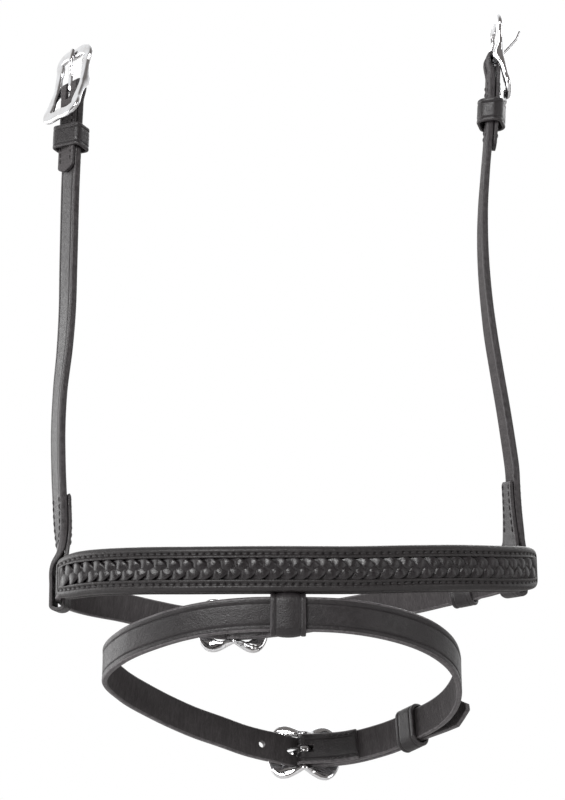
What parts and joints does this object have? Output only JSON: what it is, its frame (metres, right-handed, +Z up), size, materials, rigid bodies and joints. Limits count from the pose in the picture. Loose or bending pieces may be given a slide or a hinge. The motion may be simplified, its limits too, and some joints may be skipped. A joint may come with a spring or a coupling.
{
  "type": "flash noseband",
  "caption": "Black leather flash noseband: padded nosepiece with plaited insert, buckled chin strap, hanging flash strap in a loop, and two buckled cheek straps.",
  "frame": {"origin": "middle of the noseband ring, at the height of the middle of the nosepiece's front", "axes": "+X to the viewer's right along the nosepiece, +Y from the front of the nose to the back of the jaw, +Z up along the cheek straps"},
  "size_m": [0.2524, 0.1375, 0.3908],
  "materials": {
    "black_leather": "dyed black leather with a satin sheen",
    "black_lace": "narrow black leather laces, satin",
    "black_lining": "soft black lining leather, matt",
    "grey_foam": "closed-cell foam padding, hidden",
    "chrome": "bright polished plating"
  },
  "bodies": {
    "noseband": {"nosepiece_front": "black_leather", "plaited_insert": "black_lace", "nosepiece_padding": "grey_foam", "nosepiece_lining": "black_lining", "chin_billet_strap": "black_leather", "chin_buckle_strap": "black_leather"},
    "chin_frame": {"chin_buckle_frame": "chrome"},
    "chin_tongue": {"chin_buckle_tongue": "chrome"},
    "chin_runner": {"chin_keeper": "black_leather"},
    "flash_hanger": {"flash_loop": "black_leather"},
    "flash_band": {"flash_strap": "black_leather"},
    "flash_frame": {"flash_buckle_frame": "chrome"},
    "flash_tongue": {"flash_buckle_tongue": "chrome"},
    "flash_runner": {"flash_keeper": "black_leather"},
    "left_cheek": {"left_cheek_strap": "black_leather", "left_cheek_keeper": "black_leather"},
    "left_frame": {"left_buckle_frame": "chrome"},
    "left_tongue": {"left_buckle_tongue": "chrome"},
    "right_cheek": {"right_cheek_strap": "black_leather", "right_cheek_keeper": "black_leather"},
    "right_frame": {"right_buckle_frame": "chrome"},
    "right_tongue": {"right_buckle_tongue": "chrome"}
  },
  "joints": [
    {"name": "chin_frame_turn", "type": "hinge", "parent": "noseband", "child": "chin_frame", "pos_m": [-0.03103, 0.06106, -0.01399], "axis": [-0.0067, -0.001, -1], "range_deg": [-2, 2]},
    {"name": "chin_tongue_turn", "type": "hinge", "parent": "chin_frame", "child": "chin_tongue", "pos_m": [-0.03103, 0.06106, -0.01399], "axis": [-0.0067, -0.001, -1], "range_deg": [0, 5]},
    {"name": "chin_runner_slide", "type": "slide", "parent": "noseband", "child": "chin_runner", "axis": [-0.8531, 0.5071, -0.1228], "range_m": [-0.005, 0.005]},
    {"name": "flash_hang", "type": "hinge", "parent": "noseband", "child": "flash_hanger", "pos_m": [0, -0.0625, -0.015], "axis": [1, 0, 0], "range_deg": [-25, 12]},
    {"name": "flash_slide", "type": "slide", "parent": "flash_hanger", "child": "flash_band", "axis": [1, 0, 0], "range_m": [-0.003, 0.006]},
    {"name": "flash_frame_turn", "type": "hinge", "parent": "flash_band", "child": "flash_frame", "pos_m": [0.00529, 0.06021, -0.07963], "axis": [-0.013, -0.2934, -0.9559], "range_deg": [-2, 2]},
    {"name": "flash_tongue_turn", "type": "hinge", "parent": "flash_frame", "child": "flash_tongue", "pos_m": [0.00529, 0.06021, -0.07963], "axis": [-0.013, -0.2934, -0.9559], "range_deg": [0, 5]},
    {"name": "flash_runner_slide", "type": "slide", "parent": "flash_band", "child": "flash_runner", "axis": [0.6971, -0.6472, 0.3087], "range_m": [-0.004, 0.003]},
    {"name": "left_cheek_swing", "type": "hinge", "parent": "noseband", "child": "left_cheek", "pos_m": [-0.11618, 0.00377, -0.00093], "axis": [-0.9938, 0.1108, 0], "range_deg": [-5, 10]},
    {"name": "left_frame_turn", "type": "hinge", "parent": "left_cheek", "child": "left_frame", "pos_m": [-0.11683, 0.01619, 0.2671], "axis": [0.6828, -0.7299, 0.0309], "range_deg": [-40, 8]},
    {"name": "left_tongue_turn", "type": "hinge", "parent": "left_frame", "child": "left_tongue", "pos_m": [-0.11683, 0.01619, 0.2671], "axis": [0.6828, -0.7299, 0.0309], "range_deg": [0, 95]},
    {"name": "right_cheek_swing", "type": "hinge", "parent": "noseband", "child": "right_cheek", "pos_m": [0.11105, 0.01859, 0.00794], "axis": [0.8601, 0.5102, 0], "range_deg": [-10, 8]},
    {"name": "right_frame_turn", "type": "hinge", "parent": "right_cheek", "child": "right_frame", "pos_m": [0.10407, -0.00389, 0.2743], "axis": [-0.0573, 0.9977, 0.0369], "range_deg": [-40, 5]},
    {"name": "right_tongue_turn", "type": "hinge", "parent": "right_frame", "child": "right_tongue", "pos_m": [0.10407, -0.00389, 0.2743], "axis": [-0.0573, 0.9977, 0.0369], "range_deg": [-30, 65]}
  ]
}
